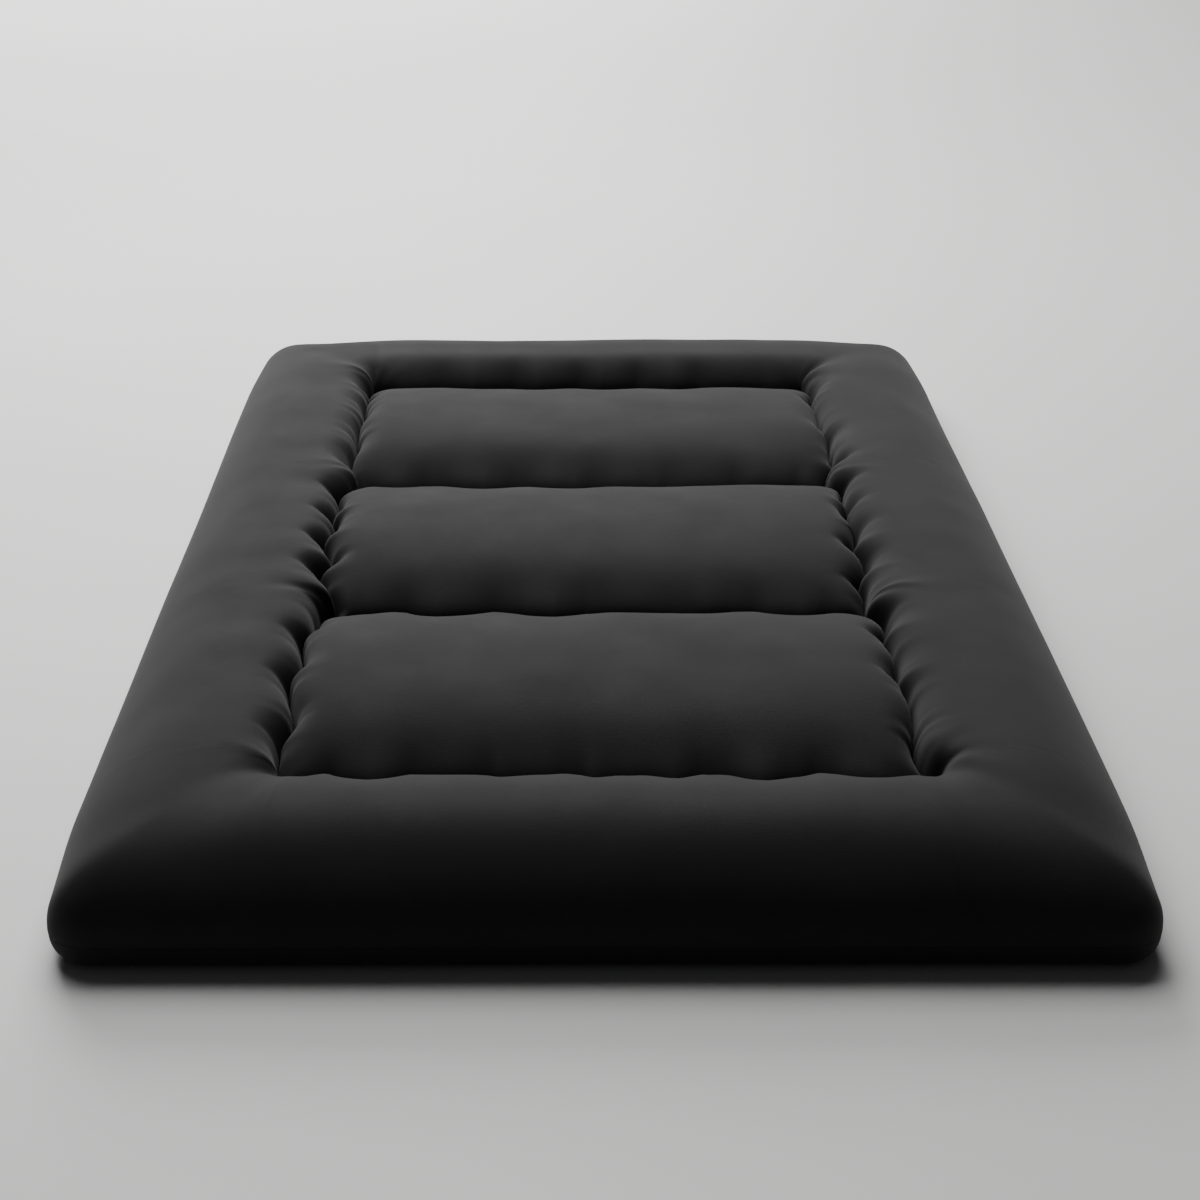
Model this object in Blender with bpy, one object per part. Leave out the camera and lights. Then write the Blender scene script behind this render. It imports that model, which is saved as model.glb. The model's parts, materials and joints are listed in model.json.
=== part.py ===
"""Quilted floor futon that folds in three: head, middle and foot sections, each built in layers.

Every section holds a top cover, a bottom cover, a foam core, wadding above and below the core, and the
loose-fibre bolsters of the raised border. Quilting threads hold the layers down along the seams.
Units are metres. The underside lies on z = 0, +Y runs from the foot end to the head end.
"""

import bpy
import numpy as np

WIDTH = 1.350
LENGTH = 2.030
CORNER_RADIUS = 0.080
HEIGHT = 0.152
SEAM_HEIGHT = 0.058
RIM_HEIGHT = 0.045

SEAM_X = 0.416
END_SEAM_Y = 0.738
FOLD_Y = 0.246

CLOTH = 0.002
GAP = 0.0005
FOLD_GAP = 0.0003
RISE_OUTER = 0.150
RISE_PANEL = 0.150
RISE_BORDER = 0.130
LOWER_ROLL = 0.030

WADDING_BOTTOM = 0.0026
CORE_BOTTOM = 0.0180
CORE_TOP = 0.0400
FILL_BOTTOM = 0.0405
SIDE_CLEARANCE = 0.006

THREAD_RADIUS = 0.0008
THREAD_SIDES = 6

TOP_X = (0.0, 0.18, 0.29, 0.36, 0.398, SEAM_X, 0.436, 0.475, 0.54, 0.60, 0.645, 0.667, WIDTH / 2)
TOP_Y_END = (
    FOLD_Y, 0.262, 0.30, 0.38, 0.492, 0.604, 0.684, 0.722, END_SEAM_Y,
    0.756, 0.80, 0.87, 0.935, 0.97, 0.995, 1.009, LENGTH / 2,
)
TOP_Y_MID = (0.0, 0.112, 0.192, 0.230, FOLD_Y)
BOTTOM_X = (0.0, 0.30, 0.645, 0.657, 0.667, 0.673, WIDTH / 2)
BOTTOM_Y_END = (FOLD_Y, 0.60, 0.935, 0.955, 0.975, 0.990, 1.003, 1.011, LENGTH / 2)
BOTTOM_Y_MID = (0.0, FOLD_Y)

FINISHES = {
    "cover_top": ((0.020, 0.020, 0.021, 1.0), 0.85),
    "cover_bottom": ((0.016, 0.016, 0.017, 1.0), 0.90),
    "foam": ((0.86, 0.80, 0.62, 1.0), 0.95),
    "wadding": ((0.88, 0.88, 0.86, 1.0), 1.00),
    "fibre": ((0.92, 0.92, 0.91, 1.0), 1.00),
    "thread": ((0.025, 0.025, 0.026, 1.0), 0.60),
}


def clear_scene():
    """Remove whatever the new file holds."""
    for obj in list(bpy.data.objects):
        bpy.data.objects.remove(obj, do_unlink=True)


def finish(slot, node):
    """One Principled material for one sub-part."""
    color, roughness = FINISHES[slot]
    material = bpy.data.materials.new(node + "_" + slot)
    material.use_nodes = True
    shader = material.node_tree.nodes["Principled BSDF"]
    shader.inputs["Base Color"].default_value = color
    shader.inputs["Roughness"].default_value = roughness
    material.diffuse_color = color
    return material


def add_node(name, slot, points, faces):
    """Link one closed mesh into the scene under the node's name."""
    mesh = bpy.data.meshes.new(name)
    mesh.from_pydata([tuple(map(float, p)) for p in points], [], [tuple(map(int, f)) for f in faces])
    mesh.validate()
    mesh.materials.append(finish(slot, name))
    obj = bpy.data.objects.new(name, mesh)
    bpy.context.scene.collection.objects.link(obj)
    return obj


def half_width(y):
    """Half the plan width of the mattress at y, narrower inside the rounded corners."""
    over = np.clip(np.abs(y) - (LENGTH / 2 - CORNER_RADIUS), 0.0, CORNER_RADIUS)
    return WIDTH / 2 - CORNER_RADIUS + np.sqrt(CORNER_RADIUS**2 - over**2)


def from_outline(x, y):
    """Distance inside the plan outline, and the outward direction at that place."""
    qx = np.abs(x) - (WIDTH / 2 - CORNER_RADIUS)
    qy = np.abs(y) - (LENGTH / 2 - CORNER_RADIUS)
    reach = np.hypot(np.maximum(qx, 0.0), np.maximum(qy, 0.0))
    distance = CORNER_RADIUS - reach - np.minimum(np.maximum(qx, qy), 0.0)
    cornered = (qx > 0) & (qy > 0)
    safe = np.where(reach > 0, reach, 1.0)
    along_x = np.where(cornered, np.maximum(qx, 0.0) / safe, (qx >= qy).astype(float)) * np.sign(x)
    along_y = np.where(cornered, np.maximum(qy, 0.0) / safe, (qx < qy).astype(float)) * np.sign(y)
    return np.maximum(distance, 0.0), along_x, along_y


def rise(share):
    """How full the cloth stands at a share of the way from a seam to the crown."""
    left = 1.0 - np.clip(share, 0.0, 1.0)
    return (1.0 - left**2.2) ** 0.75


def top_height(x, y):
    """Height of the upper face: three crowned panels inside a raised border."""
    outer, _, _ = from_outline(x, y)
    ax, ay = np.abs(x), np.abs(y)
    to_cross = np.where(ay < FOLD_Y, FOLD_Y - ay, np.minimum(ay - FOLD_Y, END_SEAM_Y - ay))
    panel = SEAM_HEIGHT + (HEIGHT - SEAM_HEIGHT) * rise((SEAM_X - ax) / RISE_PANEL) * rise(
        to_cross / RISE_PANEL
    )
    from_seam = np.hypot(np.maximum(ax - SEAM_X, 0.0), np.maximum(ay - END_SEAM_Y, 0.0))
    round_side = np.sqrt(np.maximum(1.0 - (1.0 - np.clip(outer / RISE_OUTER, 0.0, 1.0)) ** 2, 0.0))
    border = RIM_HEIGHT + (HEIGHT - RIM_HEIGHT) * round_side
    border = border - (HEIGHT - SEAM_HEIGHT) * (1.0 - rise(from_seam / RISE_BORDER))
    return np.where((ax < SEAM_X) & (ay < END_SEAM_Y), panel, border)


def bottom_height(x, y):
    """Height of the underside: flat on the floor, rolled up to the edge seam all round."""
    outer, _, _ = from_outline(x, y)
    left = 1.0 - np.clip(outer / LOWER_ROLL, 0.0, 1.0)
    return RIM_HEIGHT * (1.0 - np.sqrt(1.0 - left**2))


def outward(height, upward, x, y):
    """Unit normals of a height surface, level and outward on the rim."""
    step = 0.004
    slope_x = (height(x + step, y) - height(x - step, y)) / (2 * step)
    slope_y = (height(x, y + step) - height(x, y - step)) / (2 * step)
    size = np.sqrt(slope_x**2 + slope_y**2 + 1.0)
    normal = np.stack([-slope_x / size, -slope_y / size, 1.0 / size], axis=-1) * upward
    normal[..., 0] = np.where(np.abs(np.abs(x) - SEAM_X) < 1e-6, 0.0, normal[..., 0])
    normal[..., 1] = np.where(np.abs(np.abs(y) - END_SEAM_Y) < 1e-6, 0.0, normal[..., 1])
    distance, along_x, along_y = from_outline(x, y)
    level = np.stack([along_x, along_y, np.zeros_like(x)], axis=-1)
    return np.where((distance < 1e-5)[..., None], level, normal)


def stations(half):
    """Mirror a list of distances from the centre line."""
    return np.array([-v for v in half[:0:-1]] + list(half))


def section_rows(section, end_rows, middle_rows):
    """Y stations of one section, in rising order."""
    if section == "middle":
        return stations(middle_rows)
    rows = np.array(end_rows)
    return rows if section == "head" else -rows[::-1]


def fold_side(section, rows):
    """+1 or -1 towards the fold plane for rows that lie on one, else 0."""
    on_plane = np.abs(np.abs(rows) - FOLD_Y) < 1e-9
    towards = np.sign(rows) if section == "middle" else -np.sign(rows)
    return np.where(on_plane, towards, 0.0)


def lattice(rows, columns):
    """Plan positions of a station grid, squeezed beyond the side seams where the corners round off."""
    y = np.repeat(rows[:, None], len(columns), axis=1)
    beyond = np.maximum(np.abs(columns) - SEAM_X, 0.0)[None, :] / (WIDTH / 2 - SEAM_X)
    within = np.minimum(np.abs(columns), SEAM_X)[None, :]
    return np.sign(columns)[None, :] * (within + beyond * (half_width(y) - SEAM_X)), y


def grid_faces(count_y, count_x, offset, flip):
    """Triangles over a grid of points, all split along the same diagonal."""
    faces = []
    for j in range(count_y - 1):
        for i in range(count_x - 1):
            a = offset + j * count_x + i
            b, c, d = a + 1, a + count_x + 1, a + count_x
            pair = [(a, b, c), (a, c, d)]
            faces += [(p, r, q) for p, q, r in pair] if flip else pair
    return faces


def rim_faces(count_y, count_x, upper, lower):
    """Triangles that close the outer edge between an upper and a lower grid."""
    loop = [i for i in range(count_x)]
    loop += [j * count_x + count_x - 1 for j in range(1, count_y)]
    loop += [(count_y - 1) * count_x + i for i in range(count_x - 2, -1, -1)]
    loop += [j * count_x for j in range(count_y - 2, 0, -1)]
    faces = []
    for k, start in enumerate(loop):
        stop = loop[(k + 1) % len(loop)]
        faces.append((lower + start, lower + stop, upper + stop))
        faces.append((lower + start, upper + stop, upper + start))
    return faces


def closed_between(name, slot, upper, lower):
    """One closed body between an upper and a lower grid of points."""
    count_y, count_x = upper.shape[:2]
    size = count_y * count_x
    faces = grid_faces(count_y, count_x, 0, False) + grid_faces(count_y, count_x, size, True)
    faces += rim_faces(count_y, count_x, 0, size)
    points = np.concatenate([upper.reshape(-1, 3), lower.reshape(-1, 3)])
    return add_node(name, slot, points, faces)


def cover(section, name, slot, height, upward, rows, columns):
    """A cloth shell that follows a height surface, with square edges on the fold planes."""
    x, y = lattice(rows, columns)
    towards = fold_side(section, rows)[:, None] * np.ones_like(x)
    normal = outward(height, upward, x, y)
    on_fold = towards != 0
    distance, _, _ = from_outline(x, y)
    plain = np.stack([np.sign(x) * (distance < 1e-5), np.zeros_like(x), upward * (distance >= 1e-5)], axis=-1)
    normal = np.where(on_fold[..., None], plain, normal)
    z = height(x, y)
    z = np.where(distance < 1e-5, RIM_HEIGHT + upward * 0.0002, z)
    shell = np.stack([x, y - towards * FOLD_GAP, z], axis=-1)
    inside = shell - normal * CLOTH
    if upward > 0:
        return closed_between(name, slot, shell, inside)
    return closed_between(name, slot, inside, shell)


def drawn_in(x, y, most, within):
    """Level shift inwards from the outline: the most on the rim, fading to none within a distance."""
    distance, along_x, along_y = from_outline(x, y)
    amount = most * np.clip(1.0 - distance / within, 0.0, 1.0)
    return np.stack([along_x * amount, along_y * amount, np.zeros_like(x)], axis=-1)


def filling(section, name, slot, rows, columns, seam_ends):
    """Soft filling under the top cover, from the core's upper face to just below the cloth."""
    x, y = lattice(rows, columns)
    towards = fold_side(section, rows)[:, None] * np.ones_like(x)
    distance, _, _ = from_outline(x, y)
    on_rim = distance < 1e-5
    normal = outward(top_height, 1.0, x, y)
    flat = np.stack([np.sign(x) * on_rim, np.zeros_like(x), 1.0 * ~on_rim], axis=-1)
    normal = np.where((towards != 0)[..., None], flat, normal)
    upper = np.stack([x, y, top_height(x, y)], axis=-1) - normal * (CLOTH + GAP)
    upper[..., 2] = np.where(on_rim, RIM_HEIGHT + 0.0008, upper[..., 2])
    upper -= drawn_in(x, y, SIDE_CLEARANCE, 0.030)
    lower = np.stack([x, y, np.full_like(x, FILL_BOTTOM)], axis=-1)
    lower -= drawn_in(x, y, CLOTH + 3 * SIDE_CLEARANCE, 0.060)
    for grid in (upper, lower):
        grid[..., 1] -= towards * (FOLD_GAP + GAP)
    for axis, index, sign in seam_ends:
        row = (slice(None), index) if axis == 0 else (index, slice(None))
        upper[row + (axis,)] += sign * GAP
        lower[row + (axis,)] += sign * GAP
    return closed_between(name, slot, upper, lower)


def rolled_inset(z):
    """How far the rolled side of the underside stands in from the outline at height z."""
    left = (RIM_HEIGHT - z) / RIM_HEIGHT
    return LOWER_ROLL * (1.0 - np.sqrt(1.0 - left**2))


def plan_ring(section, inset, z):
    """Closed plan outline of a section at one height, anticlockwise seen from above."""
    half_x = WIDTH / 2 - inset
    half_y = LENGTH / 2 - inset
    radius = max(CORNER_RADIUS - inset, 0.02)
    fold = FOLD_Y - FOLD_GAP - GAP if section == "middle" else FOLD_Y + FOLD_GAP + GAP
    if section == "middle":
        return [(half_x, -fold, z), (half_x, fold, z), (-half_x, fold, z), (-half_x, -fold, z)]
    turn = np.radians(np.arange(0, 91, 15))
    right = [(half_x - radius + radius * np.cos(a), half_y - radius + radius * np.sin(a)) for a in turn]
    ring = [(half_x, fold)] + right + [(-x, y) for x, y in right[::-1]] + [(-half_x, fold)]
    if section == "foot":
        ring = [(-x, -y) for x, y in ring]
    return [(x, y, z) for x, y in ring]


def layer(section, name, slot, bottom, top):
    """A flat sheet of foam or wadding that stays inside the rolled sides."""
    on_floor = bottom < CLOTH + SIDE_CLEARANCE
    low_inset = LOWER_ROLL + 0.025 if on_floor else rolled_inset(bottom) + CLOTH + SIDE_CLEARANCE
    low = plan_ring(section, low_inset, bottom)
    high = plan_ring(section, rolled_inset(top) + CLOTH + SIDE_CLEARANCE, top)
    count = len(low)
    faces = [tuple(range(count))[::-1], tuple(range(count, 2 * count))]
    faces += [(k, (k + 1) % count, count + (k + 1) % count, count + k) for k in range(count)]
    return add_node(name, slot, low + high, faces)


def thread(name, start, stop):
    """One straight run of quilting thread."""
    start, stop = np.array(start), np.array(stop)
    along = (stop - start) / np.linalg.norm(stop - start)
    side = np.cross(along, (0.0, 0.0, 1.0))
    turn = 2 * np.pi * np.arange(THREAD_SIDES) / THREAD_SIDES
    ring = THREAD_RADIUS * (np.cos(turn)[:, None] * side + np.sin(turn)[:, None] * np.array((0.0, 0.0, 1.0)))
    points = np.concatenate([start + ring, stop + ring])
    count = THREAD_SIDES
    faces = [tuple(range(count)), tuple(range(count, 2 * count))[::-1]]
    faces += [(k, count + k, count + (k + 1) % count, (k + 1) % count) for k in range(count)]
    return add_node(name, "thread", points, faces)


def build_covers(section):
    """Top and bottom cover of one section."""
    top_rows = section_rows(section, TOP_Y_END, TOP_Y_MID)
    bottom_rows = section_rows(section, BOTTOM_Y_END, BOTTOM_Y_MID)
    cover(section, section + "_top_cover", "cover_top", top_height, 1.0, top_rows, stations(TOP_X))
    cover(
        section, section + "_bottom_cover", "cover_bottom", bottom_height, -1.0, bottom_rows, stations(BOTTOM_X)
    )


def build_fillings(section):
    """Core, wadding and bolsters of one section."""
    layer(section, section + "_bottom_wadding", "wadding", WADDING_BOTTOM, CORE_BOTTOM - GAP)
    layer(section, section + "_core", "foam", CORE_BOTTOM, CORE_TOP)
    rows = section_rows(section, TOP_Y_END, TOP_Y_MID)
    columns = stations(TOP_X)
    right = columns[columns > SEAM_X - 1e-9]
    left = -right[::-1]
    inner = columns[np.abs(columns) < SEAM_X + 1e-9]
    filling(section, section + "_left_bolster", "fibre", rows, left, [(0, -1, -1.0)])
    filling(section, section + "_right_bolster", "fibre", rows, right, [(0, 0, 1.0)])
    panel = rows[np.abs(rows) < END_SEAM_Y + 1e-9]
    sides = [(0, 0, 1.0), (0, -1, -1.0)]
    if section == "middle":
        filling(section, "middle_top_wadding", "wadding", panel, inner, sides)
        return
    sign = 1.0 if section == "head" else -1.0
    ending, starting = (-1, 0) if section == "head" else (0, -1)
    filling(section, section + "_top_wadding", "wadding", panel, inner, sides + [(1, ending, -sign)])
    beyond = rows[np.abs(rows) > END_SEAM_Y - 1e-9]
    filling(section, section + "_end_bolster", "fibre", beyond, inner, sides + [(1, starting, sign)])


def build_threads(section):
    """Quilting threads of one section."""
    z = SEAM_HEIGHT + 0.0035
    near = FOLD_Y + 0.004
    spans = {"middle": (-FOLD_Y + 0.004, FOLD_Y - 0.004), "head": (near, END_SEAM_Y - 0.003)}
    spans["foot"] = tuple(-v for v in spans["head"][::-1])
    start, stop = spans[section]
    thread(section + "_left_seam_thread", (-SEAM_X, start, z), (-SEAM_X, stop, z))
    thread(section + "_right_seam_thread", (SEAM_X, start, z), (SEAM_X, stop, z))
    reach = SEAM_X - 0.003
    if section == "middle":
        y = FOLD_Y - 0.0018
        thread("head_cross_seam_thread", (-reach, y, z + 0.0025), (reach, y, z + 0.0025))
        thread("foot_cross_seam_thread", (-reach, -y, z + 0.0025), (reach, -y, z + 0.0025))
    else:
        y = END_SEAM_Y if section == "head" else -END_SEAM_Y
        thread(section + "_end_seam_thread", (-reach, y, z), (reach, y, z))


def main():
    clear_scene()
    for section in ("foot", "middle", "head"):
        build_covers(section)
        build_fillings(section)
        build_threads(section)


main()
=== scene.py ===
"""Looks of a thick floor futon that folds in three.

A black brushed cover is quilted down along its seams over foam, wadding and loose fibre. Every surface is a
function of two parameters on a station grid. Units are metres, +Y runs from the foot end to the head end.
"""

import json
import logging
from dataclasses import dataclass, field
from enum import Enum
from typing import ClassVar

import bpy
import numpy as np
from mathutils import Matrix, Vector


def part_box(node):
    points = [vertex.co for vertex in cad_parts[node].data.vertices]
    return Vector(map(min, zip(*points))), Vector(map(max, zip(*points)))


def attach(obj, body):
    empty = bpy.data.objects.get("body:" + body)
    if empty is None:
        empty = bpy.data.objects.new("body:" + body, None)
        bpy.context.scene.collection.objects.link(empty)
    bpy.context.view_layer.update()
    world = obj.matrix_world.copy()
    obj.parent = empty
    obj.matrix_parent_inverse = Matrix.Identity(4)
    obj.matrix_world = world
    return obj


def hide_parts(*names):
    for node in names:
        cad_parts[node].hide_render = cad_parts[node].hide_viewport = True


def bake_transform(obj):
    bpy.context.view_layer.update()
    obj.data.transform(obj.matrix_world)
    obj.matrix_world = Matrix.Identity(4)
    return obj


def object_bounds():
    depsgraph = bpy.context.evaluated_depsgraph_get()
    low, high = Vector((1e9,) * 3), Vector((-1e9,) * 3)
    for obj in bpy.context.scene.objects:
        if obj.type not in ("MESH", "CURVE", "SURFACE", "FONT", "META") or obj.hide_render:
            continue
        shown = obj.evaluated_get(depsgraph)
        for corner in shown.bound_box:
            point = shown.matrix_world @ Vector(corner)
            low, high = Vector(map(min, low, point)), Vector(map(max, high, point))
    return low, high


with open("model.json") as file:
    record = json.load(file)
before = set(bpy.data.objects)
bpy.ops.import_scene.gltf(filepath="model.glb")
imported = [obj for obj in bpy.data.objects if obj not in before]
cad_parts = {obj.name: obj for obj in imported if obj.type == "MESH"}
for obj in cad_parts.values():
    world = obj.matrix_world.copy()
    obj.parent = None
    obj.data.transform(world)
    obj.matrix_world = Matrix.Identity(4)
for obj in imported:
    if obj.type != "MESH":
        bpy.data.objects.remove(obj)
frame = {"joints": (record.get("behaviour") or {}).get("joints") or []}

CAD_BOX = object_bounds()
LOG = logging.getLogger("futon")

CLOTH = 0.0012  # thickness of the cloth
SWELL_ROOM = 0.006  # room left under the model's height for the swell of the cloth
RIM_SHARE = 0.80  # height of the edge seam, as a share of the model's
LATTICE = 128  # size of the table of random numbers behind all noise
NOISE_GAIN = 1.5
SHARP_DEGREES = 75.0  # rims turn by more than this
TINY = 1e-9


class End(Enum):
    """The two ends of the mattress, each with its direction along Y."""

    HEAD = 1
    FOOT = -1

    @property
    def label(self) -> str:
        """Name used in node and piece names."""
        return self.name.lower()

    @property
    def body(self) -> str:
        """Name of the moving body at this end."""
        return self.label + "_section"


class Hold(Enum):
    """How a piece follows the sections of the mattress."""

    BENDS = "bends"
    RIDES = "rides"


@dataclass(frozen=True)
class Sizes:
    """Driving sizes of the mattress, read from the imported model."""

    half_width: float
    half_length: float
    height: float
    rim: float
    seam_x: float
    end_seam_y: float
    fold_y: float
    core_low: float
    core_high: float
    corner_radius: float = 0.056
    seam_height: float = 0.052

    @classmethod
    def from_frame(cls) -> "Sizes":
        """Read every size from the boxes of the nodes and the place of the head fold.

        Returns:
            The sizes in metres.
        """
        low, high = CAD_BOX
        thread_low, thread_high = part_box("head_right_seam_thread")
        end_low, end_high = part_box("head_end_seam_thread")
        core_low, core_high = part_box("middle_core")
        fold = next(joint for joint in frame["joints"] if joint["name"] == "head_fold")
        return cls(
            half_width=(high.x - low.x) / 2,
            half_length=(high.y - low.y) / 2,
            height=high.z - SWELL_ROOM,
            rim=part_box("middle_top_cover")[0].z * RIM_SHARE,
            seam_x=(thread_low.x + thread_high.x) / 2,
            end_seam_y=(end_low.y + end_high.y) / 2,
            fold_y=fold["pos_m"][1],
            core_low=core_low.z,
            core_high=core_high.z,
        )


def smooth_noise(u: np.ndarray, v: np.ndarray, seed: int) -> np.ndarray:
    """Soft random height over a plane: a lattice of random numbers joined by cubic B-spline weights.

    Offsets that callers add to the coordinates only pick another patch of the lattice.

    Args:
        u: First coordinate, one lattice cell to the unit.
        v: Second coordinate, one lattice cell to the unit.
        seed: Number that picks the lattice.

    Returns:
        Values mostly within -1 and 1.
    """
    lattice = np.random.default_rng(seed).standard_normal((LATTICE, LATTICE))
    u, v = np.broadcast_arrays(np.asarray(u, float), np.asarray(v, float))
    iu, iv = np.floor(u).astype(int), np.floor(v).astype(int)
    total = np.zeros(u.shape)
    weights_u, weights_v = spline_weights(u - iu), spline_weights(v - iv)
    for a in range(4):
        for b in range(4):
            total += weights_u[a] * weights_v[b] * lattice[(iu + a) % LATTICE, (iv + b) % LATTICE]
    return total * NOISE_GAIN


def spline_weights(t: np.ndarray) -> tuple[np.ndarray, ...]:
    """The four cubic B-spline weights at a share t of a cell."""
    left = 1.0 - t
    return left**3 / 6, (3 * t**3 - 6 * t**2 + 4) / 6, (3 * left**3 - 6 * left**2 + 4) / 6, t**3 / 6


def graded(start: float, stop: float, fine_start: float, fine_stop: float, coarse: float) -> np.ndarray:
    """Stations from start to stop whose spacing grows away from a fine end, always an even count of cells.

    Args:
        start: First station.
        stop: Last station.
        fine_start: Spacing at the first station.
        fine_stop: Spacing at the last station.
        coarse: Largest spacing, in between.

    Returns:
        The stations in rising order.
    """
    growth, samples = 0.14, 2001
    dense = np.linspace(start, stop, samples)
    step = np.minimum(fine_start + growth * (dense - start), fine_stop + growth * (stop - dense))
    step = np.minimum(step, coarse)
    cells = np.concatenate([[0.0], np.cumsum(np.diff(dense) * 0.5 * (1 / step[1:] + 1 / step[:-1]))])
    count = 2 * int(np.ceil(cells[-1] / 2))
    return np.interp(np.linspace(0.0, cells[-1], count + 1), cells, dense)


def nearest(stations: np.ndarray, place: float) -> int:
    """Index of the station nearest a place."""
    return int(np.argmin(np.abs(stations - place)))


def smooth_step(share: np.ndarray) -> np.ndarray:
    """Smooth step from 0 to 1."""
    return share**2 * (3 - 2 * share)


def clamped(value: np.ndarray) -> np.ndarray:
    """The value, held between 0 and 1."""
    return np.clip(value, 0.0, 1.0)


def bell(distance: np.ndarray, width: float | np.ndarray) -> np.ndarray:
    """Bell curve exp(-(distance / width)^2)."""
    return np.exp(-((distance / width) ** 2))


def mirrored(half: np.ndarray) -> np.ndarray:
    """Stations from the centre line outwards, mirrored to both sides."""
    return np.concatenate([-half[:0:-1], half])


def grid_normals(points: np.ndarray) -> np.ndarray:
    """Unit normals of a grid of points, upwards where rows run along +Y and columns along +X."""
    normal = np.cross(np.gradient(points, axis=1), np.gradient(points, axis=0))
    return normal / np.maximum(np.linalg.norm(normal, axis=-1, keepdims=True), 1e-12)


def ring_of(rows: int, columns: int) -> np.ndarray:
    """Indices round the border of a grid, anticlockwise seen from above."""
    index = np.arange(rows * columns).reshape(rows, columns)
    return np.concatenate([index[0, :-1], index[:-1, -1], index[-1, :0:-1], index[:0:-1, 0]])


def grid_quads(rows: int, columns: int, offset: int, flip: bool) -> np.ndarray:
    """Quads over a grid of points.

    Args:
        rows: Count of rows of points.
        columns: Count of columns of points.
        offset: Index of the first point.
        flip: Whether the quads are clockwise seen from above.

    Returns:
        Corner indices, one row for each quad.
    """
    index = offset + np.arange(rows * columns).reshape(rows, columns)
    a, b, c, d = index[:-1, :-1], index[:-1, 1:], index[1:, 1:], index[1:, :-1]
    order = (a, d, c, b) if flip else (a, b, c, d)
    return np.stack(order, axis=-1).reshape(-1, 4)


def closed_shell(upper: np.ndarray, lower: np.ndarray) -> tuple[np.ndarray, list[np.ndarray]]:
    """One closed body between two grids that share a border. The lower grid may have half as many cells.

    Args:
        upper: Grid of points of the upper side.
        lower: Grid of points of the lower side, at every station or at every second one.

    Returns:
        All points, and the faces in blocks of equal corner count.
    """
    count = upper.shape[0] * upper.shape[1]
    upper_ring = ring_of(*upper.shape[:2])
    lower_ring = ring_of(*lower.shape[:2]) + count
    step = len(upper_ring) // len(lower_ring)
    start = np.arange(len(lower_ring))
    corners = [lower_ring[start], lower_ring[(start + 1) % len(lower_ring)]]
    for k in range(step, -1, -1):
        corners.append(upper_ring[(start * step + k) % len(upper_ring)])
    points = np.concatenate([upper.reshape(-1, 3), lower.reshape(-1, 3)])
    blocks = [
        grid_quads(*upper.shape[:2], 0, False),
        grid_quads(*lower.shape[:2], count, True),
        np.stack(corners, axis=-1),
    ]
    return points, blocks


def make_piece(
    name: str,
    points: np.ndarray,
    blocks: list[np.ndarray],
    flat_places: np.ndarray | None = None,
) -> bpy.types.Object:
    """Put whole arrays into a new mesh object and shade it smooth, with sharp rims.

    Args:
        name: Name of the piece.
        points: All points, one row each.
        blocks: Faces in blocks of equal corner count.
        flat_places: Places on the unrolled cloth, one row for each point, kept as the UV map "cloth".

    Returns:
        The new object, at the origin.
    """
    corners = np.concatenate([block.ravel() for block in blocks]).astype(np.int32)
    totals = np.concatenate([np.full(len(block), block.shape[1]) for block in blocks])
    starts = np.concatenate([[0], np.cumsum(totals)[:-1]]).astype(np.int32)
    mesh = bpy.data.meshes.new(name)
    mesh.vertices.add(len(points))
    mesh.vertices.foreach_set("co", points.astype(np.float32).ravel())
    mesh.loops.add(len(corners))
    mesh.loops.foreach_set("vertex_index", corners)
    mesh.polygons.add(len(starts))
    mesh.polygons.foreach_set("loop_start", starts)
    mesh.update(calc_edges=True)
    mesh.validate()
    mesh.shade_smooth()
    mesh.set_sharp_from_angle(angle=np.radians(SHARP_DEGREES))
    if flat_places is not None:
        layer = mesh.uv_layers.new(name="cloth")
        layer.data.foreach_set("uv", flat_places[corners].astype(np.float32).ravel())
    piece = bpy.data.objects.new(name, mesh)
    bpy.context.scene.collection.objects.link(piece)
    return piece


@dataclass(frozen=True)
class Gathers:
    """Puffs along one kind of seam, between tucks where the stitches draw the cloth in."""

    length: float
    depth: float
    fade: float
    spring_share: float
    wander: float = 0.45
    arch_power: float = 0.4
    rates: tuple = ((1.0, 0.84), (2.1, 0.16))
    slow_length: float = 0.16

    def fullness(self, along: np.ndarray, seed: int, distance: np.ndarray | float = 0.0) -> np.ndarray:
        """Fullness along a seam: arches of uneven length that meet in tucks.

        The value sums the arches of two lengths, whose phase wanders. An arch is the squared sine and the
        softness, over one and the softness, raised to the arch power. The softness is the square of
        distance over fade, so the tucks are narrow at the seam. Slow noise says how deep each tuck is.

        Args:
            along: Distance along the seam.
            seed: Number that picks the pattern.
            distance: Distance from the seam.

        Returns:
            0 at a tuck and 1 in the middle of a puff.
        """
        wander = self.wander * smooth_noise(along / (2 * self.length) + 17.3, 0.5 + seed, seed)
        place = along / self.length + wander + 0.37 * seed
        soft = (distance / self.fade) ** 2
        arches = 0.0
        for rate, share in self.rates:
            sine = np.sin(rate * np.pi * place)
            arches = arches + share * ((sine**2 + soft) / (1.0 + soft)) ** self.arch_power
        slow = smooth_noise(along / self.slow_length + 5.1, 9.5, seed + 40)
        weight = np.clip(0.80 + 0.40 * slow, 0.25, 1.0)
        return 1.0 - weight * (1.0 - arches)

    def kept(self, distance: np.ndarray, along: np.ndarray, seed: int) -> np.ndarray:
        """Share of the height that the tucks leave: they fade as exp(-(distance / fade)^1.5)."""
        fade = np.exp(-((distance / self.fade) ** 1.5))
        return 1.0 - self.depth * (1.0 - self.fullness(along, seed, distance)) * fade


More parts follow.
